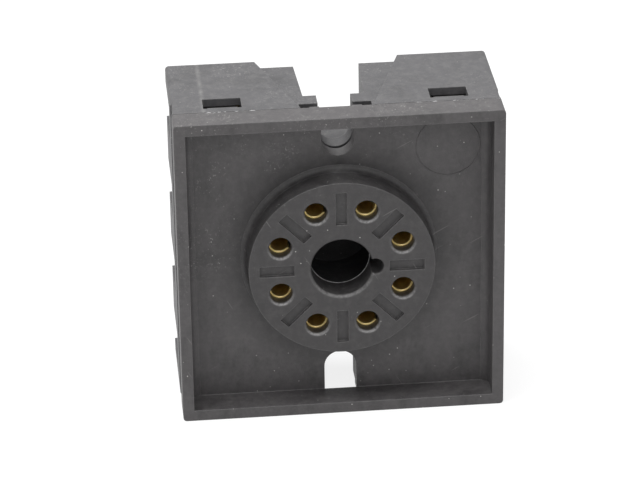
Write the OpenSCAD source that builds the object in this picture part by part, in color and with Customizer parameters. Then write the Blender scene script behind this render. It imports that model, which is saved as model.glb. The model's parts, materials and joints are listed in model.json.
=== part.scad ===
// Front-plug relay socket for relays and timers with an eight-pin octal base. A front moulding
// carries the plug face, a rear moulding carries two terminal towers, and eight brass contacts are
// trapped between them, each with a terminal screw and a clamp washer at the back.
// +Y points from the plug face to the terminals and +Z is up. The origin is the centre of the
// spigot bore in the plane of the plug face. All sizes are in millimetres.

/* [Body] */
// Width and height of the square body
body_size = 43; // [42:0.5:60]
// Depth from the front rim to the rear ends of the terminal towers
body_depth = 20; // [16.5:0.5:30]
// Rounding of the body's four long edges
body_edge_r = 0.5; // [0.1:0.1:0.8]
// Clearance where one moulding nests in the other
nest_gap = 0.1; // [0.05:0.05:0.2]
// Gap along the parting line between the mouldings
parting_gap = 0.15; // [0.05:0.05:0.3]

/* [Front moulding] */
// Thickness of the front rim
rim_wall = 1.5; // [1.2:0.1:3]
// Depth of the rim's outer sides
rim_depth = 3.9; // [3:0.1:5]
// Depth of the recess inside the rim
recess_depth = 4.2; // [3:0.1:5.5]
// Thickness of the recess floor
floor_wall = 1.5; // [1:0.1:2.5]
// Width of the plug face outside the circle that the pin holes lie on
plug_face_margin = 3.575; // [2:0.025:4.5]
// Fillet where the plug face's wall meets the recess floor
plug_foot_r = 0.35; // [0:0.05:1]

/* [Octal base] */
// Diameter of the circle that the pin holes lie on
pin_circle_d = 17.45; // [15.5:0.05:21]
// Diameter of each pin hole
pin_hole_d = 2.95; // [2.5:0.05:3.5]
// Rounding of a pin hole's mouth
pin_lip_r = 0.3; // [0.1:0.05:0.6]
// Diameter of the spigot bore
spigot_bore_d = 8.1; // [6.8:0.05:9.8]
// Rounding of the spigot bore's mouth
spigot_lip_r = 0.45; // [0.1:0.05:0.8]
// Length of the spigot bore before the cavity opens behind it
spigot_bore_depth = 4; // [2:0.1:5]
// Radius of the keyway beside the spigot bore
keyway_r = 1.1; // [0.8:0.05:1.4]
// Distance of the keyway's centre outside the bore's wall
keyway_out = 0.35; // [0:0.05:0.5]
// Depth that the relay's spigot needs behind the plug face
spigot_depth = 14.4; // [12:0.1:16]
// Depth that the relay's pins need behind the plug face
pin_depth = 12.3; // [10:0.1:14]

/* [Plug face marks] */
// Length of each radial pocket between two pin holes
pocket_len = 4.6; // [2:0.1:6]
// Width of each radial pocket
pocket_w = 1.5; // [0.5:0.1:2]
// Depth of each radial pocket
pocket_depth = 0.45; // [0.1:0.05:1]

/* [Panel screw slots] */
// Width of each slot in the front moulding
slot_w = 4.3; // [3:0.1:5.5]
// Extra width of the matching channel in the rear moulding
channel_extra = 0.2; // [0:0.05:0.6]
// Distance from the centre to each slot's round end
slot_reach = 16.55; // [15:0.05:18]
// Thickness of the collar around each slot
collar_wall = 1.3; // [0.8:0.1:2]
// How far the collar stands behind the recess floor
collar_height = 0.75; // [0.3:0.05:1.5]
// Gap around the collar's sides
collar_side_gap = 1.3; // [0.2:0.1:1.6]
// Gap behind the collar
collar_back_gap = 0.95; // [0.1:0.05:1.5]

/* [Rear moulding] */
// Thickness of the skirt around the recess floor
skirt_wall = 0.9; // [0.6:0.1:1.1]
// Depth at which the plate between the towers ends
plate_back = 10; // [9:0.1:12]
// Depth at which the hub around the spigot cavity ends
hub_back = 15.6; // [15:0.1:18]
// Distance from the centre to the hub's top and bottom
hub_reach = 14.2; // [12:0.1:16]
// Half of the gap between the towers, at the plate
tower_gap_front = 4; // [3:0.1:6]
// Half of the gap between the towers, at their rear ends
tower_gap_rear = 4.4; // [3:0.1:7]
// How far the middle of the top and bottom is set down
middle_drop = 0.95; // [0.3:0.05:1.5]
// Half width of the set-down middle at the parting line
middle_half_front = 4.75; // [4:0.05:7]
// Half width of the set-down middle at the rear
middle_half_rear = 9.6; // [5:0.05:10.5]
// Depth of the shallow groove along each side
side_groove_depth = 0.2; // [0.05:0.05:0.4]
// Width of the shallow groove along each side
side_groove_w = 2.9; // [1:0.1:4]
// Distance of the shallow groove from the parting line
side_groove_inset = 0.5; // [0.3:0.1:2]
// Clearance of the spigot cavity outside the keyway
cavity_clearance = 0.4; // [0.2:0.05:0.6]

/* [Snap fits] */
// Width of each snap lug
lug_w = 3.9; // [2:0.1:5]
// Height of each snap lug over the recess floor's edge
lug_height = 0.8; // [0.3:0.05:0.9]
// Width of each snap window
window_w = 5; // [3:0.1:6]
// Length of each snap window
window_len = 3.1; // [2:0.1:4]
// Length of the bar in front of each snap window
window_bar = 1.15; // [0.8:0.05:2]
// Distance of the snap lugs from the terminals' centre line
lug_shift = 0.6; // [0:0.1:1.5]

/* [Contacts] */
// Thickness of the contact's sheet brass
strip_t = 0.8; // [0.4:0.05:1.2]
// Width of the tongue that joins the receptacle to the terminal
tongue_w = 3; // [2:0.1:3.2]
// Depth at which the receptacle's front end sits
receptacle_front = 1.9; // [1:0.1:2.5]
// Depth at which the tongue's rear face sits
tongue_back = 8.2; // [7.5:0.1:9]
// Outer diameter of the rolled receptacle
receptacle_d = 3.1; // [3.05:0.05:3.6]
// Wall of the rolled receptacle
receptacle_wall = 0.3; // [0.2:0.05:0.35]
// Width of the slit in the rolled receptacle
slit_w = 1.1; // [0.3:0.05:1.4]
// Clearance around a receptacle and its tongue
contact_gap = 0.1; // [0.05:0.05:0.2]

/* [Terminals] */
// Distance between neighbouring terminals
terminal_pitch = 11.2; // [9:0.1:11.8]
// Distance from the body's side to the terminals' centre line
terminal_inset = 6.1; // [6:0.1:7]
// Depth at which the wire lies on the terminal plate
wire_depth = 12.2; // [11.8:0.1:13.5]
// Width of the shoulder that holds each edge of the terminal plate
terminal_shoulder = 0.3; // [0.2:0.05:0.5]
// How far the terminal plate runs past the clamp washer, towards the side
terminal_plate_tail = 0.2; // [0:0.1:0.3]
// How far the clamp washer shows beside the screw's head
washer_edge = 0.05; // [0:0.05:0.2]
// How far the clamp washer runs past the screw's head at each end
washer_tab = 0.5; // [0.1:0.05:0.6]
// Thickness of the clamp washer
washer_t = 0.9; // [0.6:0.05:1.2]
// Side clearance of the clamp washer in its pocket
washer_gap = 0.25; // [0.15:0.05:0.4]
// Width of each wire entry in the side wall
wire_entry_w = 5; // [3:0.1:5.8]

/* [Terminal screws] */
// Diameter of the screw's shank
screw_d = 3.45; // [2.8:0.05:4.2]
// Length of the screw under its head
screw_len = 6.5; // [5:0.1:7]
// Diameter of the screw's head
screw_head_d = 5.8; // [4.8:0.1:5.9]
// Height of the screw's head
screw_head_h = 2.2; // [1.6:0.1:2.6]
// Running clearance between the shank and its holes, on the radius
screw_gap = 0.07; // [0.02:0.01:0.1]
// Length of the cross slots in the head
drive_len = 4; // [2:0.1:4.5]
// Width of the cross slots in the head
drive_w = 0.9; // [0.5:0.05:1.2]
// Depth of the cross slots in the head
drive_depth = 1.3; // [0.8:0.1:1.5]

/* [Hidden] */
$fn = 48;
eps = 0.01;
half = body_size / 2;
recess_half = half - rim_wall;
floor_half = half - skirt_wall - nest_gap;
floor_back = recess_depth + floor_wall;
nest_half = half - skirt_wall;
rear_front = rim_depth + parting_gap;

window_front = rear_front + window_bar;
lug_front = window_front + 0.05;
lug_flat = 0.6;
lug_rib_wall = 1.2;

plug_face_r = pin_circle_d / 2 + plug_face_margin;
keyway_offset = spigot_bore_d / 2 + keyway_out;
cavity_r = keyway_offset + keyway_r + cavity_clearance;
receptacle_r = receptacle_d / 2;
tongue_front = tongue_back - strip_t;

washer_w = screw_head_d + 2 * washer_edge;
washer_len = screw_head_d + 2 * washer_tab;
terminal_plate_w = washer_w + 2 * (washer_gap + terminal_shoulder);
terminal_plate_reach = washer_len / 2 + terminal_plate_tail;
terminal_x = half - terminal_inset;
plate_front = wire_depth - strip_t;
riser_x = terminal_x - 4.2;
riser_w = 5;
chamber_half = terminal_plate_w / 2 + contact_gap;
chamber_in = riser_x - contact_gap;
pocket_half = washer_w / 2 + washer_gap;
pocket_in = terminal_x - washer_len / 2 - washer_gap;
pocket_out = terminal_x + terminal_plate_reach + 0.4;
post_w = 0.9;
post_edge = terminal_plate_w / 2 - 0.1;
head_front = wire_depth + washer_t;
screw_hole_r = screw_d / 2 + screw_gap;
lug_x = terminal_x - lug_shift;

// Each contact is numbered as on the plug face, clockwise from the keyway seen from the front.
// Its side, its half and whether its terminal is one of the outer four follow from the number.
function pin_angle(i) = 22.5 - 45 * i;
function pin_side(i) = sign(cos(pin_angle(i)));
function pin_half(i) = sign(sin(pin_angle(i)));
function is_outer(i) = abs(sin(pin_angle(i))) > abs(cos(pin_angle(i)));
function pin_xz(i) = pin_circle_d / 2 * [cos(pin_angle(i)), sin(pin_angle(i))];
function terminal_z(i) = pin_half(i) * terminal_pitch * (is_outer(i) ? 1.5 : 0.5);
// Direction of each receptacle's slit, as the rolled tubes happen to lie
slit_angles = [100, 20, -5, 90, 90, -10, -5, 170];

// A solid between two depths, from an outline drawn in X and Z.
module slab(front, back) {
    translate([0, back, 0]) rotate([90, 0, 0]) linear_extrude(back - front) children();
}

// A solid turned around the Y axis, from an outline drawn in radius and depth.
module turned() {
    rotate([-90, 0, 0]) rotate_extrude() children();
}

module on_pin(i) {
    translate([pin_xz(i)[0], 0, pin_xz(i)[1]]) children();
}

module on_terminal(i) {
    translate([pin_side(i) * terminal_x, 0, terminal_z(i)]) children();
}

module rounded_square(size, r) {
    square([size - 2 * r, size], center = true);
    square([size, size - 2 * r], center = true);
    for (x = [-1, 1], z = [-1, 1]) translate([x, z] * (size / 2 - r)) circle(r);
}

// Copies in the right and left halves, or in the upper and lower ones.
module both_sides() {
    for (side = [0, 1]) mirror([side, 0, 0]) children();
}

module both_halves() {
    for (side = [0, 1]) mirror([0, 0, side]) children();
}

// A round hole from the plug face back, with a rounded mouth and a wider chamber behind it.
module lipped_hole(r, lip, depth, chamber_r, chamber_back) {
    mouth = [for (a = [0:15:90]) [r + lip - lip * sin(a), lip - lip * cos(a)]];
    back = [[r, depth], [chamber_r, depth], [chamber_r, chamber_back], [0, chamber_back]];
    turned() polygon(concat([[0, -eps], [r + lip, -eps]], mouth, back));
}

// The outline of a panel screw slot: a round end, and straight sides that run out of the edge.
module slot_outline(w) {
    translate([0, slot_reach]) circle(w / 2);
    translate([-w / 2, slot_reach]) square([w, half + 1 - slot_reach]);
}

// The outline of a contact's tongue, from its receptacle to its riser.
module tongue_outline(i, grow) {
    start = pin_xz(i);
    finish = [pin_side(i) * (riser_x + strip_t / 2), terminal_z(i)];
    run = finish - start;
    translate(start) {
        circle(receptacle_r + grow);
        rotate(atan2(run[1], run[0])) translate([0, -tongue_w / 2 - grow])
            square([norm(run), tongue_w + 2 * grow]);
    }
    translate(finish) circle(tongue_w / 2 + grow);
}

// The plug face's wall stands on the recess floor with a small fillet around its foot.
module plug_boss() {
    foot_r = plug_face_r + plug_foot_r;
    foot_y = recess_depth - plug_foot_r;
    foot = [for (a = [0:15:90]) [foot_r - plug_foot_r * cos(a), foot_y + plug_foot_r * sin(a)]];
    turned() polygon(concat([[0, -2], [plug_face_r, -2]], foot, [[0, recess_depth]]));
}

// A lug on the recess floor's edge: a steep face to the front, a flat top and a ramp to the rear.
module snap_lug() {
    ramp_back = lug_front + lug_flat + lug_height;
    translate([lug_x - lug_w / 2, 0, 0]) {
        translate([0, recess_depth, floor_half - lug_rib_wall])
            cube([lug_w, ramp_back - recess_depth, lug_rib_wall]);
        translate([0, 0, floor_half - eps]) rotate([90, 0, 90]) linear_extrude(lug_w)
            polygon([[lug_front, 0], [lug_front, lug_height + eps],
                [lug_front + lug_flat, lug_height + eps], [ramp_back, 0]]);
    }
}

// Two posts that hold a terminal plate against the screwdriver's push.
module terminal_posts() {
    for (side = [-1, 1]) translate([0, 0, side * (post_edge - post_w / 2)])
        translate([-2.4, floor_back - eps, -post_w / 2])
            cube([5.6, plate_front - floor_back + eps, post_w]);
}

module front_housing() {
    color([0.17, 0.165, 0.175]) difference() {
        union() {
            difference() {
                union() {
                    slab(0, rim_depth) rounded_square(body_size, body_edge_r);
                    slab(eps, floor_back) square(2 * floor_half, center = true);
                }
                difference() {
                    slab(-1, recess_depth) square(2 * recess_half, center = true);
                    plug_boss();
                }
            }
            both_halves() {
                both_sides() snap_lug();
                slab(floor_back - eps, floor_back + collar_height) intersection() {
                    slot_outline(slot_w + 2 * collar_wall);
                    square(2 * floor_half, center = true);
                }
            }
            for (i = [0:7]) on_terminal(i) mirror([pin_side(i) < 0 ? 1 : 0, 0, 0]) terminal_posts();
        }
        both_halves() slab(recess_depth - eps, floor_back + collar_height + 1) slot_outline(slot_w);
        lipped_hole(spigot_bore_d / 2, spigot_lip_r, spigot_bore_depth, cavity_r, floor_back + 1);
        translate([keyway_offset, 0, 0])
            lipped_hole(keyway_r, spigot_lip_r / 2, spigot_bore_depth, keyway_r, floor_back + 1);
        for (i = [0:7]) {
            on_pin(i) lipped_hole(pin_hole_d / 2, pin_lip_r, receptacle_front,
                receptacle_r + contact_gap, floor_back + 1);
            rotate([0, 45 * i, 0]) translate([pin_circle_d / 2 - 0.15, 0, 0])
                cube([pocket_len, 2 * pocket_depth, pocket_w], center = true);
        }
    }
}

// The towers' top and bottom are set down in the middle, between two slanting edges.
module middle_set_down() {
    outline = [[-middle_half_front, rear_front - eps], [-middle_half_rear, body_depth + eps],
        [middle_half_rear, body_depth + eps], [middle_half_front, rear_front - eps]];
    translate([0, 0, half - middle_drop]) linear_extrude(middle_drop + 1) polygon(outline);
}

// The gap between the towers, a little wider at the rear, with the hub left standing in it.
module tower_gap() {
    gap = [[-tower_gap_front, plate_back], [-tower_gap_rear, body_depth + eps],
        [tower_gap_rear, body_depth + eps], [tower_gap_front, plate_back]];
    difference() {
        translate([0, 0, -half - 1]) linear_extrude(body_size + 2) polygon(gap);
        translate([-half, 0, -hub_reach]) cube([body_size, hub_back, 2 * hub_reach]);
    }
}

// One terminal's chamber: the contact comes in from the front, and the screw and washer from the
// rear. The shoulder between the two widths stops the terminal plate. Wires come in at the side.
module terminal_chamber() {
    translate([chamber_in - terminal_x, rear_front - eps, -chamber_half])
        cube([pocket_out - chamber_in, wire_depth - rear_front + eps, 2 * chamber_half]);
    translate([pocket_in - terminal_x, wire_depth - eps, -pocket_half])
        cube([pocket_out - pocket_in, body_depth - wire_depth + 1, 2 * pocket_half]);
    translate([0, plate_front, -wire_entry_w / 2])
        cube([terminal_inset + 1, body_depth - plate_front + 1, wire_entry_w]);
}

module snap_window() {
    translate([lug_x - window_w / 2, window_front, floor_half - lug_rib_wall - nest_gap])
        cube([window_w, window_len, lug_rib_wall + skirt_wall + 1]);
}

module rear_housing() {
    color([0.18, 0.175, 0.185]) difference() {
        slab(rear_front, body_depth) rounded_square(body_size, body_edge_r);
        slab(rear_front - eps, floor_back) square(2 * nest_half, center = true);
        tower_gap();
        both_halves() {
            middle_set_down();
            slab(rear_front - eps, plate_back + eps) slot_outline(slot_w + channel_extra);
            slab(rear_front - eps, floor_back + collar_height + collar_back_gap)
                slot_outline(slot_w + 2 * (collar_wall + collar_side_gap));
            both_sides() snap_window();
        }
        both_sides()
            translate([half - side_groove_depth, rear_front + side_groove_inset, -half - 1])
                cube([1, side_groove_w, body_size + 2]);
        turned() square([cavity_r, spigot_depth]);
        for (i = [0:7]) {
            slab(rear_front, tongue_back) tongue_outline(i, contact_gap);
            on_pin(i) turned() square([pin_hole_d / 2, pin_depth]);
            on_terminal(i) mirror([pin_side(i) < 0 ? 1 : 0, 0, 0]) terminal_chamber();
        }
    }
}

// A contact is one folded strip: a rolled and slit receptacle for the pin, a tongue across the
// moulding, a riser, and the terminal plate with its screw hole.
module contact(i) {
    side = pin_side(i);
    color([0.78, 0.62, 0.25]) {
        difference() {
            union() {
                on_pin(i) slab(receptacle_front, tongue_back) circle(receptacle_r);
                slab(tongue_front, tongue_back) intersection() {
                    tongue_outline(i, 0);
                    square([2 * (riser_x + strip_t), body_size], center = true);
                }
                on_terminal(i) mirror([side < 0 ? 1 : 0, 0, 0]) terminal_plate();
            }
            on_pin(i) slab(receptacle_front - 1, tongue_back + 1)
                circle(receptacle_r - receptacle_wall);
            on_pin(i) rotate([0, -slit_angles[i], 0])
                translate([0, receptacle_front - 1, -slit_w / 2])
                    cube([receptacle_d, tongue_front - receptacle_front + 1, slit_w]);
        }
    }
}

module terminal_plate() {
    difference() {
        union() {
            translate([riser_x - terminal_x, tongue_front, -riser_w / 2])
                cube([strip_t, wire_depth - tongue_front, riser_w]);
            translate([riser_x - terminal_x, plate_front, -terminal_plate_w / 2])
                cube([terminal_x - riser_x + terminal_plate_reach, strip_t, terminal_plate_w]);
        }
        slab(plate_front - 1, wire_depth + 1) circle(screw_hole_r);
    }
}

module clamp_washer(i) {
    color([0.72, 0.72, 0.7]) on_terminal(i) slab(wire_depth, head_front) difference() {
        square([washer_len, washer_w], center = true);
        circle(screw_hole_r);
    }
}

// A pan-head screw with a domed edge, a chamfered tip and a cross recess.
module terminal_screw(i) {
    shank_r = screw_d / 2;
    head_r = screw_head_d / 2;
    tip = head_front - screw_len;
    dome = [for (a = [0:15:90])
        [head_r - 0.9 + 0.9 * cos(a), head_front + screw_head_h - 0.9 + 0.9 * sin(a)]];
    color([0.75, 0.74, 0.7]) on_terminal(i) difference() {
        turned() polygon(concat(
            [[0, tip], [shank_r - 0.4, tip], [shank_r, tip + 0.4], [shank_r, head_front],
                [head_r, head_front]],
            dome, [[0, head_front + screw_head_h]]));
        for (turn = [0, 90]) rotate([0, turn, 0])
            translate([0, head_front + screw_head_h, 0])
                cube([drive_len, 2 * drive_depth, drive_w], center = true);
    }
}

front_housing();
rear_housing();
for (i = [1:8]) {
    contact(i - 1);
    clamp_washer(i - 1);
    terminal_screw(i - 1);
}
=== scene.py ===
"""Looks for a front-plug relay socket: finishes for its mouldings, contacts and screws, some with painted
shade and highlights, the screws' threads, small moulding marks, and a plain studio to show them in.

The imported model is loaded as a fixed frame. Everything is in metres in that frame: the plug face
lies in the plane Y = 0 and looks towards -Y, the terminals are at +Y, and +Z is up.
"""

import json
import math
import random

import bmesh
import bpy
from mathutils import Matrix, Vector


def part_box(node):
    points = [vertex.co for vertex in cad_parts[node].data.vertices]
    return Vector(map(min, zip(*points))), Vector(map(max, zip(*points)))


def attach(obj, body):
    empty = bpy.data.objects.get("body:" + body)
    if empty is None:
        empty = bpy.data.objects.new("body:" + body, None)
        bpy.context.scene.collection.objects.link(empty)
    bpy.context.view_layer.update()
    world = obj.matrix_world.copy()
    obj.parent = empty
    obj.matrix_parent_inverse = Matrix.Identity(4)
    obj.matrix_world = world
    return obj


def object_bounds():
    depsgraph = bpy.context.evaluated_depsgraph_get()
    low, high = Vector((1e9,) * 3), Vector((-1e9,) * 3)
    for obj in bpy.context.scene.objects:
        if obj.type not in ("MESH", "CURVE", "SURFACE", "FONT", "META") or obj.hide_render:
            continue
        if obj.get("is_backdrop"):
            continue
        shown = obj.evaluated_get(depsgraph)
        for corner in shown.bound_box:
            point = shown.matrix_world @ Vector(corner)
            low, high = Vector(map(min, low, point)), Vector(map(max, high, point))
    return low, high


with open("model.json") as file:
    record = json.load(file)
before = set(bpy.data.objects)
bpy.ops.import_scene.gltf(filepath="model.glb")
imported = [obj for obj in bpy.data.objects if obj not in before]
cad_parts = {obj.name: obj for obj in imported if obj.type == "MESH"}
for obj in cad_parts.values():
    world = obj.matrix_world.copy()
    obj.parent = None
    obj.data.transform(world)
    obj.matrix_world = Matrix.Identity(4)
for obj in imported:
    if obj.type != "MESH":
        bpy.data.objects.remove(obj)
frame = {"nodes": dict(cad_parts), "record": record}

bl_info = {
    "name": "Relay socket looks",
    "version": (1, 0, 0),
    "blender": (4, 5, 0),
    "location": "View3D > Sidebar > Relay socket",
    "description": "Finishes, small details and a studio for a front-plug relay socket",
    "category": "Object",
}

MM = 0.001
TERMINALS = range(1, 9)
ROOT = "socket"
MOUNTS = {mount["name"]: mount for mount in frame["record"]["mounts"]}

# Plug face
PIN_COUNT = MOUNTS["pin_holes"]["dims"]["count"]
PIN_CIRCLE_R = MOUNTS["pin_holes"]["dims"]["pcd_mm"] / 2 * MM
PIN_HOLE_R = MOUNTS["pin_holes"]["dims"]["hole_r_mm"] * MM
PIN_LIP = 0.3 * MM
BORE_R = MOUNTS["spigot_bore"]["dims"]["r_mm"] * MM
BORE_LIP = 0.35 * MM
BORE_WALL_END = 4.0 * MM
PLUG_FACE_R = 12.3 * MM

# Recess
FLOOR_Y = MOUNTS["panel_screw_seat"]["pos_m"][1]
RIM_WALL = 1.5 * MM
RECESS_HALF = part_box("front_housing")[1][0] - RIM_WALL
FILLET_SINK = 0.1 * MM
FILLET_STEPS = 8
INSERT_PLACE = (14.5 * MM, 15.0 * MM)
INSERT_R = 4.2 * MM
INSERT_LINE = 0.16 * MM

# Parting line and its flash: the stretches of flash run along X on top and along Z on the left
PARTING_FRONT = 3.9 * MM
PARTING_BACK = 4.05 * MM
TOP_FLASH = ((-17.0, -9.8), (10.4, 13.0), (14.9, 20.9))
SIDE_FLASH = ((-8.0, -3.0), (8.0, 16.0))
FLASH_STEP = 0.22 * MM
FLASH_HEIGHT = 0.2 * MM
FLASH_TEARS = 0.14 * MM
BEAD_R = 0.19 * MM
SEAM_X = -17.3 * MM
TOP_STARTS = 20.0 * MM

# Terminal screws
HEAD_HEIGHT = 2.2 * MM
SHANK_R = 1.725 * MM
PITCH = 0.6 * MM
THREAD_RISE = 0.03 * MM
THREAD_LEAD_IN = 0.5 * MM
THREAD_RUN_OUT = 1.6 * MM
THREAD_STEPS = 28


# --- Sizes and colours that a user may change ---------------------------------------------------


def colour_prop(name, description, default):
    return bpy.props.FloatVectorProperty(
        name=name, description=description, subtype="COLOR", size=3, min=0, max=1, default=default
    )


def length_prop(name, description, default):
    return bpy.props.FloatProperty(
        name=name, description=description, unit="LENGTH", min=0, precision=5, default=default
    )


def share_prop(name, description, default):
    return bpy.props.FloatProperty(
        name=name, description=description, subtype="FACTOR", min=0, max=1, default=default
    )


class RelaySocketFinish(bpy.types.PropertyGroup):
    front_colour: colour_prop("Front moulding", "Colour of the front moulding", (0.0405, 0.0380, 0.0390))
    rear_colour: colour_prop("Rear moulding", "Colour of the rear moulding", (0.044, 0.043, 0.045))
    # Lightens the mouldings' edges and hole lips, partly as wear and partly as a painted highlight
    wear_and_highlight_colour: colour_prop("Worn and highlighted edge", "Colour of the mouldings' rubbed edges", (0.24, 0.235, 0.235))
    dust_colour: colour_prop("Dust", "Colour of the dust on the mouldings", (0.5, 0.49, 0.47))
    moulding_roughness: share_prop("Moulding roughness", "Roughness of the mouldings", 0.46)
    brass_colour: colour_prop("Brass", "Colour of the contacts' brass", (1.0, 0.77, 0.30))
    brass_dark: colour_prop("Tarnished brass", "Colour of tarnished brass", (0.55, 0.33, 0.09))
    steel_colour: colour_prop("Plated steel", "Colour of the screws and washers", (0.66, 0.65, 0.62))
    edge_radius: length_prop("Edge softening", "Radius at which moulded edges catch the light", 0.00022)
    foot_radius: length_prop("Foot fillet", "Fillet between the plug face's wall and the floor", 0.0008)
    cove_radius: length_prop("Recess fillet", "Fillet between the rim and the recess floor", 0.0011)
    thread_depth: length_prop("Thread depth", "Depth of the terminal screws' thread", 0.00028)


class RelaySocketView(bpy.types.PropertyGroup):
    aim: bpy.props.FloatVectorProperty(
        name="Aim", description="Point that the camera looks at", subtype="TRANSLATION",
        size=3, precision=5, default=(-0.001993, 0.010, -0.000558),
    )
    distance: length_prop("Distance", "Distance from the aim to the camera", 0.45048)
    azimuth: bpy.props.FloatProperty(
        name="Azimuth", description="How far left of the front the camera stands",
        subtype="ANGLE", default=math.radians(4.949),
    )
    elevation: bpy.props.FloatProperty(
        name="Elevation", description="How far above the front the camera stands",
        subtype="ANGLE", default=math.radians(25.915),
    )
    roll: bpy.props.FloatProperty(
        name="Roll", description="Turn of the camera about its own axis",
        subtype="ANGLE", default=math.radians(-0.901),
    )
    lens: bpy.props.FloatProperty(
        name="Lens", description="Focal length on a 36 mm sensor, in millimetres", min=10, default=189.32
    )


class RelaySocketStudio(bpy.types.PropertyGroup):
    floor_colour: colour_prop("Floor", "Colour of the floor", (0.86, 0.86, 0.86))
    sky_strength: bpy.props.FloatProperty(
        name="Sky strength", description="Strength of the even light from all round", min=0, default=0.36
    )
    key_power: bpy.props.FloatProperty(
        name="Key light", description="Power of the soft box overhead", subtype="POWER", default=4.1
    )
    fill_power: bpy.props.FloatProperty(
        name="Fill light", description="Power of the soft box in front", subtype="POWER", default=0.5
    )


# --- Node helpers -------------------------------------------------------------------------------


def add_node(tree, kind, inputs=None, **settings):
    """A shader node with its settings and inputs: a socket links, and anything else is a value."""
    made = tree.nodes.new(kind)
    for key, value in settings.items():
        setattr(made, key, value)
    for key, value in (inputs or {}).items():
        socket = made.inputs[key]
        if isinstance(value, bpy.types.NodeSocket):
            tree.links.new(value, socket)
        else:
            socket.default_value = value
    return made


def ramp(tree, factor, stops):
    """A colour ramp of greys, from (position, grey) stops, as a value socket."""
    made = add_node(tree, "ShaderNodeValToRGB", {"Fac": factor})
    elements = made.color_ramp.elements
    while len(elements) < len(stops):
        elements.new(0.5)
    for element, (position, grey) in zip(elements, stops):
        element.position = position
        element.color = (grey, grey, grey, 1)
    return made.outputs["Color"]


def math_node(tree, operation, a, b=0.0, clamp=False):
    made = add_node(tree, "ShaderNodeMath", {0: a, 1: b}, operation=operation, use_clamp=clamp)
    return made.outputs[0]


def mix_colour(tree, factor, a, b, blend="MIX"):
    made = add_node(tree, "ShaderNodeMix", data_type="RGBA", blend_type=blend)
    for index, value in ((0, factor), (6, a), (7, b)):
        if isinstance(value, bpy.types.NodeSocket):
            tree.links.new(value, made.inputs[index])
        elif index == 0:
            made.inputs[index].default_value = value
        else:
            made.inputs[index].default_value = (*value, 1)
    return made.outputs[2]


def falling(tree, value, start, end):
    """A value socket that is 1 up to start and falls to 0 at end, or rises if end is the lower one."""
    inputs = {"Value": value, "From Min": start, "From Max": end, "To Min": 1.0, "To Max": 0.0}
    return add_node(tree, "ShaderNodeMapRange", inputs).outputs[0]


def stretched(tree, vector, factors):
    """A position scaled by three factors, which draws a pattern out along the small ones."""
    made = add_node(tree, "ShaderNodeVectorMath", {0: vector, 1: factors}, operation="MULTIPLY")
    return made.outputs["Vector"]


def length(tree, a, b):
    """The length of the vector with these two components."""
    squares = math_node(tree, "ADD", math_node(tree, "MULTIPLY", a, a), math_node(tree, "MULTIPLY", b, b))
    return math_node(tree, "POWER", squares, 0.5)


def facing_up(tree):
    """The upward component of the surface's normal."""
    normal = add_node(tree, "ShaderNodeNewGeometry").outputs["Normal"]
    return add_node(tree, "ShaderNodeSeparateXYZ", {0: normal}).outputs["Z"]


def noise(tree, vector, scale, detail=3.0, roughness=0.55, **settings):
    """Noise whose scale is in features per millimetre."""
    inputs = {"Vector": vector, "Scale": scale / MM, "Detail": detail, "Roughness": roughness}
    return add_node(tree, "ShaderNodeTexNoise", inputs, **settings).outputs["Fac"]


def new_group(name, inputs, outputs):
    """An empty node group with its named inputs and outputs, and its two end nodes."""
    tree = bpy.data.node_groups.new(name, "ShaderNodeTree")
    for label, kind, default in inputs:
        socket = tree.interface.new_socket(label, in_out="INPUT", socket_type=kind)
        if default is not None:
            socket.default_value = default
    for label, kind in outputs:
        tree.interface.new_socket(label, in_out="OUTPUT", socket_type=kind)
    return tree, tree.nodes.new("NodeGroupInput").outputs, tree.nodes.new("NodeGroupOutput").inputs


def place_group(tree, group, inputs):
    made = add_node(tree, "ShaderNodeGroup")
    made.node_tree = group
    for key, value in inputs.items():
        if isinstance(value, bpy.types.NodeSocket):
            tree.links.new(value, made.inputs[key])
        else:
            made.inputs[key].default_value = value
    return made.outputs


def object_position(tree):
    return add_node(tree, "ShaderNodeTexCoord").outputs["Object"]


# --- Effects shared between materials -----------------------------------------------------------

FLOAT = "NodeSocketFloat"
VECTOR = "NodeSocketVector"


def soft_edge_group():
    """A normal that turns over the edges, and a mask of the outer edges."""
    tree, given, out = new_group(
        "Soft edges",
        [("Radius", FLOAT, 0.0002), ("Gain", FLOAT, 6.0)],
        [("Normal", VECTOR), ("Edge", FLOAT)],
    )
    turned = add_node(tree, "ShaderNodeBevel", {"Radius": given["Radius"]}, samples=6)
    flat = add_node(tree, "ShaderNodeNewGeometry").outputs["Normal"]
    agree = add_node(
        tree, "ShaderNodeVectorMath", {0: turned.outputs[0], 1: flat}, operation="DOT_PRODUCT"
    ).outputs["Value"]
    mask = math_node(tree, "MULTIPLY", math_node(tree, "SUBTRACT", 1.0, agree), given["Gain"], True)
    tree.links.new(turned.outputs[0], out["Normal"])
    tree.links.new(mask, out["Edge"])
    return tree


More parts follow.
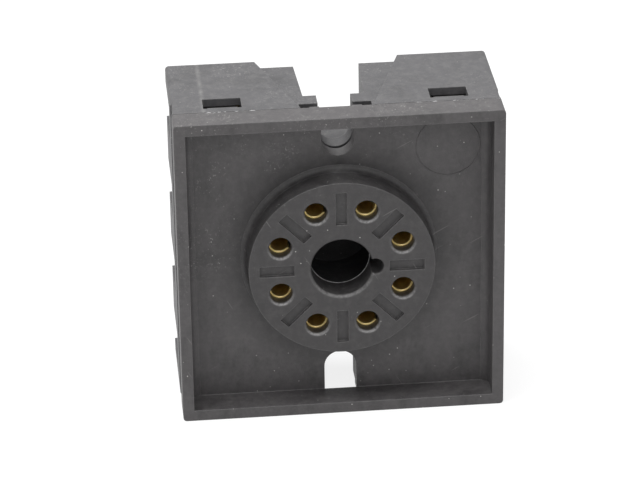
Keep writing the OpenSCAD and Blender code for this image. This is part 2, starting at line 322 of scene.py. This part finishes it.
def moulded_grain_group():
    """The fine matt texture of a spark-eroded mould, with slow flow marks, as a height and a tone."""
    tree, given, out = new_group(
        "Moulded grain",
        [("Position", VECTOR, None), ("Grain", FLOAT, 1.0), ("Flow", FLOAT, 1.0)],
        [("Height", FLOAT), ("Tone", FLOAT)],
    )
    place = given["Position"]
    grain = noise(tree, place, 4.5, 4.0, 0.65)
    slow = noise(tree, place, 0.16, 4.0, 0.6)
    streaks = noise(tree, stretched(tree, place, (1.0, 1.0, 0.35)), 0.6, 4.0, 0.6)
    flow = math_node(tree, "MULTIPLY", math_node(tree, "ADD", slow, streaks), given["Flow"])
    broad = ramp(tree, flow, [(0.62, 0.0), (1.0, 1.0)])
    broad = math_node(tree, "MULTIPLY", broad, 0.75)
    speck = ramp(tree, noise(tree, place, 2.2, 2.0, 0.5), [(0.35, 0.0), (0.7, 1.0)])
    speck = math_node(tree, "MULTIPLY", speck, 0.22)
    tree.links.new(math_node(tree, "MULTIPLY", grain, given["Grain"]), out["Height"])
    tree.links.new(math_node(tree, "ADD", broad, speck), out["Tone"])
    return tree


def dust_group():
    """Specks and a thin film of dust, more of it on faces that look up."""
    tree, given, out = new_group(
        "Dust",
        [("Position", VECTOR, None), ("Specks", FLOAT, 1.0), ("Film", FLOAT, 0.2)],
        [("Mask", FLOAT)],
    )
    cells = add_node(
        tree, "ShaderNodeTexVoronoi",
        {"Vector": given["Position"], "Scale": 0.9 / MM, "Randomness": 1.0}, feature="F1",
    )
    near = ramp(tree, cells.outputs["Distance"], [(0.04, 1.0), (0.09, 0.0)])
    pick = ramp(tree, cells.outputs["Color"], [(0.66, 0.0), (0.8, 1.0)])
    specks = math_node(tree, "MULTIPLY", math_node(tree, "MULTIPLY", near, pick), given["Specks"])
    up = facing_up(tree)
    patches = ramp(tree, noise(tree, given["Position"], 0.9, 5.0, 0.7), [(0.45, 0.0), (0.8, 1.0)])
    facing = math_node(tree, "ADD", math_node(tree, "MULTIPLY", up, 0.5), 0.5, True)
    film = math_node(tree, "MULTIPLY", math_node(tree, "MULTIPLY", patches, facing), given["Film"])
    tree.links.new(math_node(tree, "ADD", specks, film, True), out["Mask"])
    return tree


# --- Materials ----------------------------------------------------------------------------------


def new_material(name):
    made = bpy.data.materials.new(name)
    made.use_nodes = True
    tree = made.node_tree
    return made, tree, tree.nodes["Principled BSDF"]


def scuffed_corner(tree, place, x, z):
    """Sparkling scuffs in patches, towards the upper left."""
    sparkle = ramp(tree, noise(tree, place, 3.2, 3.0, 0.75), [(0.6, 0.0), (0.7, 1.0)])
    patch = ramp(tree, noise(tree, place, 0.11, 3.0, 0.6), [(0.45, 0.0), (0.62, 1.0)])
    leaning = math_node(tree, "SUBTRACT", z, math_node(tree, "MULTIPLY", x, 0.6))
    corner = math_node(tree, "MULTIPLY", math_node(tree, "SUBTRACT", leaning, 4 * MM), 70.0, True)
    return math_node(tree, "MULTIPLY", math_node(tree, "MULTIPLY", sparkle, patch), corner)


def scratches(tree, place):
    """Thin straight scratches in two directions."""
    lines = []
    for turn, scale in ((0.5, 1.75), (2.1, 1.4)):
        inputs = {"Vector": place, "Axis": (0, 1, 0), "Angle": turn}
        tilt = add_node(tree, "ShaderNodeVectorRotate", inputs, rotation_type="AXIS_ANGLE").outputs[0]
        thin = noise(tree, stretched(tree, tilt, (0.09, 1.0, 1.9)), scale, 1.0, 0.4)
        lines.append(ramp(tree, thin, [(0.775, 0.0), (0.80, 0.4)]))
    return math_node(tree, "MULTIPLY", math_node(tree, "ADD", *lines, True), 0.5)


def mould_seam(tree, place, x, y, z):
    """The pale seam that the mould left on the rear moulding's top, near its left end."""
    aside = math_node(tree, "ABSOLUTE", math_node(tree, "SUBTRACT", x, SEAM_X))
    seam = falling(tree, aside, 0.05 * MM, 0.4 * MM)
    seam = math_node(tree, "MULTIPLY", seam, math_node(tree, "GREATER_THAN", z, TOP_STARTS))
    seam = math_node(tree, "MULTIPLY", seam, math_node(tree, "GREATER_THAN", y, PARTING_BACK))
    broken = ramp(tree, noise(tree, place, 0.7, 4.0, 0.7), [(0.3, 0.05), (0.65, 0.28)])
    return math_node(tree, "MULTIPLY", seam, broken)


def rubbed_and_shade_group():
    """Whitish scuffs and fine scratches left by handling, and painted shade that darkens the floor round
    the foot of the plug face.
    """
    tree, given, out = new_group(
        "Rubbed and painted shade",
        [("Position", VECTOR, None)],
        [("Scuffs", FLOAT), ("Painted shade", FLOAT)],
    )
    place = given["Position"]
    parts = add_node(tree, "ShaderNodeSeparateXYZ", {0: place})
    x, y, z = (parts.outputs[axis] for axis in "XYZ")
    seam = mould_seam(tree, place, x, y, z)
    scuffs = math_node(tree, "ADD", scuffed_corner(tree, place, x, z), seam, True)
    # Painted shade: 1 at the foot of the plug face, falling to 0 a few millimetres out, where the floor
    # is darkened as if shaded
    painted_shade = falling(tree, length(tree, x, z), PLUG_FACE_R + 0.5 * MM, PLUG_FACE_R + 4.9 * MM)
    tree.links.new(math_node(tree, "ADD", scuffs, scratches(tree, place), True), out["Scuffs"])
    tree.links.new(painted_shade, out["Painted shade"])
    return tree


def mouth(tree, distance, edge, lip):
    """A mask of the lip that starts at a hole's edge, from the distance to the hole's axis."""
    inside = falling(tree, distance, edge, edge - 0.1 * MM)
    outside = falling(tree, distance, edge + lip - 0.08 * MM, edge + lip + 0.1 * MM)
    return math_node(tree, "MULTIPLY", inside, outside)


def lip_group():
    """A mask of the lower lips of the pin holes and the spigot bore, which handling has roughened, made
    stronger where they face up as a painted highlight.
    """
    tree, given, out = new_group("Hole lips", [("Position", VECTOR, None)], [("Mask", FLOAT)])
    parts = add_node(tree, "ShaderNodeSeparateXYZ", {0: given["Position"]})
    x, y, z = (parts.outputs[axis] for axis in "XYZ")
    away = length(tree, x, z)
    # Folding the angle puts all the pin holes on top of each other
    half_step = math.pi / PIN_COUNT
    turn = math_node(tree, "PINGPONG", math_node(tree, "ARCTAN2", z, x), half_step)
    turn = math_node(tree, "SUBTRACT", turn, half_step)
    across = math_node(tree, "MULTIPLY", away, math_node(tree, "COSINE", turn))
    across = math_node(tree, "SUBTRACT", across, PIN_CIRCLE_R)
    along = math_node(tree, "MULTIPLY", away, math_node(tree, "SINE", turn))
    holes = mouth(tree, length(tree, across, along), PIN_HOLE_R, PIN_LIP)
    bore = math_node(tree, "MULTIPLY", mouth(tree, away, BORE_R, BORE_LIP), 0.5)
    mask = math_node(tree, "ADD", holes, bore, True)
    mask = math_node(tree, "MULTIPLY", mask, falling(tree, y, 0.3 * MM, 0.6 * MM))
    # Painted highlight: the lips are lighter where they face up, towards the lamp overhead
    upward = math_node(tree, "ADD", math_node(tree, "MULTIPLY", facing_up(tree), 1.6), 0.12, True)
    mask = math_node(tree, "MULTIPLY", mask, upward)
    torn = ramp(tree, noise(tree, given["Position"], 2.6, 4.0, 0.7), [(0.35, 0.25), (0.6, 1.0)])
    tree.links.new(math_node(tree, "MULTIPLY", mask, torn), out["Mask"])
    return tree


def finish_surface(tree, shader, base, roughness, height, normal, strength, depth):
    """Links a material's colour, roughness and bump to its shader."""
    tree.links.new(base, shader.inputs["Base Color"])
    tree.links.new(roughness, shader.inputs["Roughness"])
    inputs = {"Height": height, "Normal": normal, "Strength": strength, "Distance": depth}
    bump = add_node(tree, "ShaderNodeBump", inputs)
    tree.links.new(bump.outputs[0], shader.inputs["Normal"])


def scaled(colour, factor):
    return tuple(min(1.0, factor * channel) for channel in colour)


def moulding_material(name, colour, finish, groups, specks):
    """Black glass-filled plastic: grain, flow marks, edges lightened partly by wear and partly as a
    painted highlight, painted shade round the plug face, hole lips lightened the same way, and a little
    dust.
    """
    made, tree, shader = new_material(name)
    position = object_position(tree)
    soft = place_group(tree, groups["edges"], {"Radius": finish.edge_radius, "Gain": 9.0})
    grain = place_group(tree, groups["grain"], {"Position": position, "Grain": 1.0, "Flow": 1.0})
    dust = place_group(tree, groups["dust"], {"Position": position, "Specks": specks, "Film": 0.10})
    # rubbed holds the handling scuffs and the painted shade round the plug face
    rubbed = place_group(tree, groups["rubbed"], {"Position": position})
    lips = place_group(tree, groups["lips"], {"Position": position})
    wear_and_highlight_colour, dust_colour = tuple(finish.wear_and_highlight_colour), tuple(finish.dust_colour)

    base = mix_colour(tree, grain["Tone"], scaled(colour, 0.72), scaled(colour, 1.9))
    # Painted shade: the floor is darkened round the foot of the plug face
    painted_shade = math_node(tree, "MULTIPLY", rubbed["Painted shade"], 0.6)
    base = mix_colour(tree, painted_shade, base, scaled(colour, 0.45))
    # Edges lightened partly as wear and partly as a painted highlight along them
    rub = ramp(tree, noise(tree, position, 1.4, 4.0, 0.6), [(0.3, 0.25), (0.7, 1.0)])
    edge_wear_and_highlight = math_node(tree, "MULTIPLY", math_node(tree, "MULTIPLY", soft["Edge"], rub), 0.4)
    base = mix_colour(tree, edge_wear_and_highlight, base, wear_and_highlight_colour)
    # Hole lips lightened partly as wear and partly as a painted highlight
    base = mix_colour(tree, lips["Mask"], base, wear_and_highlight_colour)
    scuffs = math_node(tree, "MULTIPLY", rubbed["Scuffs"], 0.65)
    base = mix_colour(tree, scuffs, base, dust_colour)
    base = mix_colour(tree, dust["Mask"], base, dust_colour)

    rough = math_node(tree, "MULTIPLY", grain["Tone"], 0.22)
    rough = math_node(tree, "ADD", finish.moulding_roughness - 0.1, rough, True)
    finish_surface(tree, shader, base, rough, grain["Height"], soft["Normal"], 0.8, 0.04 * MM)
    return made


def flash_and_highlight_material(name):
    """Thin torn plastic, paler than the moulding that it hangs from; the same pale colour paints the
    highlight ring in the spigot bore.
    """
    made, tree, shader = new_material(name)
    patches = ramp(tree, noise(tree, object_position(tree), 1.8, 4.0, 0.7), [(0.3, 0.0), (0.7, 1.0)])
    base = mix_colour(tree, patches, (0.2, 0.2, 0.205), (0.75, 0.74, 0.74))
    tree.links.new(base, shader.inputs["Base Color"])
    shader.inputs["Roughness"].default_value = 0.5
    return made


def brass_material(name, finish, groups):
    """Rolled brass: drawn lines along the strip, tarnish in patches and edges painted paler as a
    highlight.
    """
    made, tree, shader = new_material(name)
    position = object_position(tree)
    soft = place_group(tree, groups["edges"], {"Radius": 0.45 * MM, "Gain": 1.2})
    stain = ramp(tree, noise(tree, position, 0.35, 4.0, 0.6), [(0.42, 0.0), (0.85, 0.8)])
    base = mix_colour(tree, stain, tuple(finish.brass_colour), tuple(finish.brass_dark))
    # Painted highlight: a paler gold on the edges, where the tube's mouth catches the light
    base = mix_colour(tree, soft["Edge"], base, (1.0, 0.9, 0.55))
    shader.inputs["Metallic"].default_value = 0.82
    drawn = noise(tree, stretched(tree, position, (1.0, 0.12, 1.0)), 9.0, 3.0, 0.6)
    rough = math_node(tree, "ADD", 0.24, math_node(tree, "MULTIPLY", drawn, 0.14), True)
    finish_surface(tree, shader, base, rough, drawn, soft["Normal"], 0.2, 0.01 * MM)
    return made


def steel_material(name, finish, groups):
    """Zinc-plated steel: fine scratches, mottled plating and edges painted paler as a highlight."""
    made, tree, shader = new_material(name)
    position = object_position(tree)
    soft = place_group(tree, groups["edges"], {"Radius": 0.1 * MM, "Gain": 5.0})
    mottle = ramp(tree, noise(tree, position, 1.6, 4.0, 0.6), [(0.3, 0.0), (0.8, 1.0)])
    base = mix_colour(tree, mottle, tuple(finish.steel_colour), (0.46, 0.45, 0.42))
    # Painted highlight: a paler grey on the edges
    base = mix_colour(tree, soft["Edge"], base, (0.8, 0.79, 0.77))
    shader.inputs["Metallic"].default_value = 1.0
    fine = noise(tree, position, 7.0, 4.0, 0.7)
    rough = math_node(tree, "ADD", 0.2, math_node(tree, "MULTIPLY", fine, 0.3), True)
    finish_surface(tree, shader, base, rough, fine, soft["Normal"], 0.3, 0.02 * MM)
    return made


def shared_groups():
    """The node groups, built once and found again by the operators that come later."""
    makers = {
        "edges": ("Soft edges", soft_edge_group),
        "grain": ("Moulded grain", moulded_grain_group),
        "dust": ("Dust", dust_group),
        "rubbed": ("Rubbed and painted shade", rubbed_and_shade_group),
        "lips": ("Hole lips", lip_group),
    }
    return {key: bpy.data.node_groups.get(name) or make() for key, (name, make) in makers.items()}


def dress(node, material):
    """Gives a CAD node's mesh one material."""
    mesh = frame["nodes"][node].data
    mesh.materials.clear()
    mesh.materials.append(material)


def finish_of(node):
    """The material that a CAD node has been given."""
    return frame["nodes"][node].data.materials[0]


# --- Pieces -------------------------------------------------------------------------------------


def finish_piece(name, body, mesh_data, material):
    """Turns a filled bmesh into a piece that moves with one CAD body."""
    bmesh.ops.recalc_face_normals(mesh_data, faces=mesh_data.faces)
    mesh = bpy.data.meshes.new(name)
    mesh_data.to_mesh(mesh)
    mesh_data.free()
    mesh.materials.append(material)
    made = bpy.data.objects.new(name, mesh)
    bpy.context.scene.collection.objects.link(made)
    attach(made, body)
    return made


def shade_smooth(mesh, degrees):
    """Smooth shading up to an angle between faces."""
    mesh.polygons.foreach_set("use_smooth", [True] * len(mesh.polygons))
    mesh.set_sharp_from_angle(angle=math.radians(degrees))


def spun(points, centre, steps):
    """A closed ring about the Y axis through a point, from (radius, y) points of its section."""
    made = bmesh.new()
    verts = [made.verts.new((centre[0] + r, y, centre[1])) for r, y in points]
    edges = [made.edges.new((verts[k - 1], verts[k])) for k in range(len(verts))]
    bmesh.ops.spin(
        made, geom=verts + edges, cent=(centre[0], 0, centre[1]), axis=(0, 1, 0), dvec=(0, 0, 0),
        angle=math.tau, steps=steps, use_merge=True, use_duplicate=False,
    )
    bmesh.ops.remove_doubles(made, verts=made.verts, dist=1e-7)
    return made


def fillet_section(radius):
    """A cove's section as (distance from the wall, height behind the floor), with its back sunk in."""
    points = [(-FILLET_SINK, FILLET_SINK), (-FILLET_SINK, -radius)]
    for k in range(FILLET_STEPS + 1):
        turn = math.pi / 2 * k / FILLET_STEPS
        points.append((radius * (1 - math.cos(turn)), -radius * (1 - math.sin(turn))))
    points.append((radius, FILLET_SINK))
    return points


def plug_face_fillet(material, radius):
    """The soft fillet between the plug face's wall and the recess floor."""
    points = [(PLUG_FACE_R + out, FLOOR_Y + rise) for out, rise in fillet_section(radius)]
    made = finish_piece("plug_face_fillet", ROOT, spun(points, (0, 0), 160), material)
    shade_smooth(made.data, 40)


def recess_fillets(material, radius):
    """The soft fillets between the recess floor and the rim's left and right sides."""
    for side, name in ((-1, "left"), (1, "right")):
        made = bmesh.new()
        face = made.faces.new([
            made.verts.new((side * (RECESS_HALF - inset), FLOOR_Y + rise, -RECESS_HALF))
            for inset, rise in fillet_section(radius)
        ])
        grown = bmesh.ops.extrude_face_region(made, geom=[face])["geom"]
        ends = [item for item in grown if isinstance(item, bmesh.types.BMVert)]
        bmesh.ops.translate(made, verts=ends, vec=(0, 0, 2 * RECESS_HALF))
        fillet = finish_piece(f"recess_fillet_{name}", ROOT, made, material)
        shade_smooth(fillet.data, 40)


def mould_insert_ring(material):
    """The raised outline that a round mould insert leaves on the recess floor."""
    inner, outer = INSERT_R - INSERT_LINE / 2, INSERT_R + INSERT_LINE / 2
    front, back, slope = FLOOR_Y - 0.06 * MM, FLOOR_Y + 0.05 * MM, 0.03 * MM
    points = [
        (inner, back), (inner + slope, front), (INSERT_R, front - 0.02 * MM), (outer - slope, front),
        (outer, back),
    ]
    ring = spun(points, INSERT_PLACE, 120)
    made = finish_piece("mould_insert_ring", ROOT, ring, material)
    shade_smooth(made.data, 40)


def bore_edge_highlight_ring(material):
    """A thin pale ring at the rear edge of the spigot bore's wall, standing as a painted highlight on
    that edge.
    """
    inner, outer = BORE_R - 0.05 * MM, BORE_R + 0.01 * MM
    front, back = BORE_WALL_END - 0.1 * MM, BORE_WALL_END
    ring = spun([(inner, front), (outer, front), (outer, back), (inner, back)], (0, 0), 120)
    made = finish_piece("bore_edge_highlight_ring", ROOT, ring, material)
    shade_smooth(made.data, 40)


def flash_strip(made, dice, start, end, at, out):
    """A ragged ribbon in the parting line; at turns a way along, a depth and a height into a point."""
    steps = max(2, int((end - start) / FLASH_STEP))
    previous = None
    for k in range(steps + 1):
        along = start + (end - start) * k / steps
        rise = out - dice.random() * FLASH_TEARS
        section = [
            (PARTING_FRONT, out - FLASH_HEIGHT),
            (PARTING_FRONT - dice.random() * 0.05 * MM, rise),
            (PARTING_BACK + dice.random() * 0.06 * MM, rise),
            (PARTING_BACK, out - FLASH_HEIGHT),
        ]
        row = [made.verts.new(at(along, y, height)) for y, height in section]
        if previous:
            for a in range(len(row)):
                b = (a + 1) % len(row)
                made.faces.new((previous[a], previous[b], row[b], row[a]))
        else:
            made.faces.new(row)
        previous = row
    made.faces.new(previous)


def parting_line_flash(material):
    """Ragged flash in the parting line along the top and the left side, and a bead at the corner."""
    dice = random.Random(7)
    _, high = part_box("rear_housing")
    side, top = high[0], high[2]
    made = bmesh.new()
    for start, end in TOP_FLASH:
        flash_strip(made, dice, start * MM, end * MM, lambda along, y, height: (along, y, height), top)
    for start, end in SIDE_FLASH:
        flash_strip(made, dice, start * MM, end * MM, lambda along, y, height: (-height, y, along), side)
    bead = bmesh.ops.create_icosphere(made, subdivisions=2, radius=BEAD_R)
    middle = (PARTING_FRONT + PARTING_BACK) / 2
    bmesh.ops.translate(made, verts=bead["verts"], vec=(side - 0.35 * MM, middle, top - 0.2 * MM))
    finish_piece("parting_line_flash", ROOT, made, material)


def thread(i, material, depth):
    """A helical thread that hugs one terminal screw's shank."""
    low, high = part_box(f"terminal_screw_{i}")
    x, z = (low[0] + high[0]) / 2, (low[2] + high[2]) / 2
    tip, head = low[1], high[1] - HEAD_HEIGHT
    root, crest = SHANK_R - depth, SHANK_R + THREAD_RISE
    turns = int((head - tip - THREAD_RUN_OUT) / PITCH)
    ridge = [(root, 0.0), (crest, 0.4 * PITCH), (crest, 0.5 * PITCH), (root, 0.9 * PITCH)]
    made = bmesh.new()
    verts = [made.verts.new((x + r, tip + THREAD_LEAD_IN + y, z)) for r, y in ridge]
    face = made.faces.new(verts)
    steps = THREAD_STEPS * turns
    bmesh.ops.spin(
        made, geom=[face, *face.edges, *face.verts], cent=(x, 0, z), axis=(0, 1, 0),
        dvec=(0, turns * PITCH / steps, 0), angle=math.tau * turns, steps=steps,
        use_merge=False, use_duplicate=False,
    )
    made = finish_piece(f"thread_{i}", f"terminal_screw_{i}", made, material)
    shade_smooth(made.data, 30)


# --- Operators ----------------------------------------------------------------------------------


class RELAY_OT_mouldings(bpy.types.Operator):
    """Give the two mouldings their black moulded finish"""

    bl_idname = "relay.mouldings"
    bl_label = "Mouldings"

    def execute(self, context):
        finish, groups = context.scene.relay_finish, shared_groups()
        front = moulding_material("front_moulding", tuple(finish.front_colour), finish, groups, 1.0)
        rear = moulding_material("rear_moulding", tuple(finish.rear_colour), finish, groups, 0.6)
        dress("front_housing", front)
        dress("rear_housing", rear)
        return {"FINISHED"}


class RELAY_OT_fillets(bpy.types.Operator):
    """Add the front moulding's soft fillets and the outline of its mould insert"""

    bl_idname = "relay.fillets"
    bl_label = "Fillets and insert ring"

    def execute(self, context):
        finish, front = context.scene.relay_finish, finish_of("front_housing")
        plug_face_fillet(front, finish.foot_radius)
        recess_fillets(front, finish.cove_radius)
        mould_insert_ring(front)
        return {"FINISHED"}


class RELAY_OT_flash(bpy.types.Operator):
    """Add a painted highlight ring in the spigot bore and the flash along the parting line"""

    bl_idname = "relay.flash"
    bl_label = "Moulding flash"

    def execute(self, context):
        # One pale material for the parting line's flash and for the painted highlight ring in the bore
        flash = flash_and_highlight_material("moulding_flash_and_highlight")
        bore_edge_highlight_ring(flash)
        parting_line_flash(flash)
        return {"FINISHED"}


class RELAY_OT_contacts(bpy.types.Operator):
    """Give the eight contacts their brass"""

    bl_idname = "relay.contacts"
    bl_label = "Contacts"

    def execute(self, context):
        brass = brass_material("contact_brass", context.scene.relay_finish, shared_groups())
        for i in TERMINALS:
            dress(f"contact_{i}", brass)
        return {"FINISHED"}


class RELAY_OT_terminal_screws(bpy.types.Operator):
    """Give the terminal screws and clamp washers their plated steel, and cut the screws' threads"""

    bl_idname = "relay.terminal_screws"
    bl_label = "Terminal screws"

    def execute(self, context):
        finish = context.scene.relay_finish
        steel = steel_material("plated_steel", finish, shared_groups())
        for i in TERMINALS:
            dress(f"terminal_screw_{i}", steel)
            dress(f"clamp_washer_{i}", steel)
            thread(i, steel, finish.thread_depth)
        return {"FINISHED"}


def soft_box(name, place, aim, width, height, power):
    """A rectangular area lamp that faces a point."""
    lamp = bpy.data.lights.new(name, "AREA")
    lamp.shape = "RECTANGLE"
    lamp.size = width
    lamp.size_y = height
    lamp.energy = power
    made = bpy.data.objects.new(name, lamp)
    turn = (Vector(aim) - Vector(place)).to_track_quat("-Z", "Y")
    made.matrix_world = Matrix.Translation(place) @ turn.to_matrix().to_4x4()
    bpy.context.scene.collection.objects.link(made)


def seen_directly(tree):
    """1 for the rays of the camera, of mirrors and of clear things, and 0 for the light itself."""
    path = add_node(tree, "ShaderNodeLightPath").outputs
    seen = math_node(tree, "MAXIMUM", path["Is Camera Ray"], path["Is Glossy Ray"])
    return math_node(tree, "MAXIMUM", seen, path["Is Transmission Ray"])


def mostly_white(tree, lit, share, strength):
    """A shader that is mixed with plain white where it is seen directly."""
    white = add_node(tree, "ShaderNodeEmission", {"Color": (1, 1, 1, 1), "Strength": strength})
    seen = math_node(tree, "MULTIPLY", seen_directly(tree), share)
    return add_node(tree, "ShaderNodeMixShader", {0: seen, 1: lit, 2: white.outputs[0]}).outputs[0]


def lay_floor(scene, colour):
    """A pale sheet at the model's lowest point."""
    low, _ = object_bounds()
    sheet = bmesh.new()
    bmesh.ops.create_grid(sheet, x_segments=1, y_segments=1, size=3.0)
    bmesh.ops.translate(sheet, verts=sheet.verts, vec=(0, 0, low[2]))
    mesh = bpy.data.meshes.new("floor")
    sheet.to_mesh(mesh)
    sheet.free()
    floor = bpy.data.objects.new("floor", mesh)
    scene.collection.objects.link(floor)
    made, tree, shader = new_material("floor_paper")
    shader.inputs["Base Color"].default_value = (*colour, 1)
    shader.inputs["Roughness"].default_value = 0.9
    surface = tree.nodes["Material Output"].inputs["Surface"]
    tree.links.new(mostly_white(tree, shader.outputs[0], 0.75, 1.1), surface)
    mesh.materials.append(made)
    floor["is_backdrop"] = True


def hang_sky(scene, strength):
    """An even light from all round, which is white where it is seen directly."""
    world = bpy.data.worlds.new("studio")
    world.use_nodes = True
    tree = world.node_tree
    background = tree.nodes["Background"]
    background.inputs["Color"].default_value = (1, 1, 1, 1)
    lift = math_node(tree, "MULTIPLY", seen_directly(tree), 1.0 - strength)
    tree.links.new(math_node(tree, "ADD", lift, strength), background.inputs["Strength"])
    scene.world = world


def stand_camera(scene, view):
    """The camera, looking at the aim from its distance and angles."""
    camera = bpy.data.cameras.new("camera")
    camera.lens = view.lens
    camera.sensor_width = 36
    camera.clip_start = 0.01
    camera.clip_end = 20
    eye = bpy.data.objects.new("camera", camera)
    turn = (
        Matrix.Rotation(-view.azimuth, 3, "Z")
        @ Matrix.Rotation(math.pi / 2 - view.elevation, 3, "X")
        @ Matrix.Rotation(view.roll, 3, "Z")
    )
    place = Vector(view.aim) + turn @ Vector((0, 0, view.distance))
    eye.matrix_world = Matrix.Translation(place) @ turn.to_4x4()
    scene.collection.objects.link(eye)
    scene.camera = eye


class RELAY_OT_stage(bpy.types.Operator):
    """Lay the pale floor, hang the lamps and set up the camera"""

    bl_idname = "relay.stage"
    bl_label = "Studio"

    def execute(self, context):
        scene, studio = context.scene, context.scene.relay_studio
        lay_floor(scene, studio.floor_colour)
        hang_sky(scene, studio.sky_strength)
        aim = (0, 0.01, 0)
        soft_box("key_light", (-0.10, 0.02, 0.55), aim, 0.45, 0.36, studio.key_power)
        soft_box("fill_light", (0.04, -0.40, 0.36), aim, 0.22, 0.22, studio.fill_power)
        stand_camera(scene, scene.relay_view)
        scene.view_settings.view_transform = "Standard"
        return {"FINISHED"}


class RELAY_PT_panel(bpy.types.Panel):
    bl_label = "Relay socket"
    bl_idname = "RELAY_PT_panel"
    bl_space_type = "VIEW_3D"
    bl_region_type = "UI"
    bl_category = "Relay socket"

    def draw(self, context):
        for group in (context.scene.relay_finish, context.scene.relay_studio, context.scene.relay_view):
            column = self.layout.column()
            for key in group.__annotations__:
                column.prop(group, key)
        for step in STEPS:
            self.layout.operator(step.bl_idname)


STEPS = (
    RELAY_OT_mouldings, RELAY_OT_fillets, RELAY_OT_flash, RELAY_OT_contacts, RELAY_OT_terminal_screws,
    RELAY_OT_stage,
)
GROUPS = {
    "relay_finish": RelaySocketFinish,
    "relay_view": RelaySocketView,
    "relay_studio": RelaySocketStudio,
}


def register():
    for made in (*GROUPS.values(), *STEPS, RELAY_PT_panel):
        bpy.utils.register_class(made)
    for key, made in GROUPS.items():
        setattr(bpy.types.Scene, key, bpy.props.PointerProperty(type=made))


def unregister():
    for key in GROUPS:
        delattr(bpy.types.Scene, key)
    for made in (RELAY_PT_panel, *reversed(STEPS), *GROUPS.values()):
        bpy.utils.unregister_class(made)


def main():
    register()
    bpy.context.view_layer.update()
    bpy.ops.relay.mouldings()
    bpy.ops.relay.fillets()
    bpy.ops.relay.flash()
    bpy.ops.relay.contacts()
    bpy.ops.relay.terminal_screws()
    bpy.ops.relay.stage()


if __name__ == "__main__":
    main()
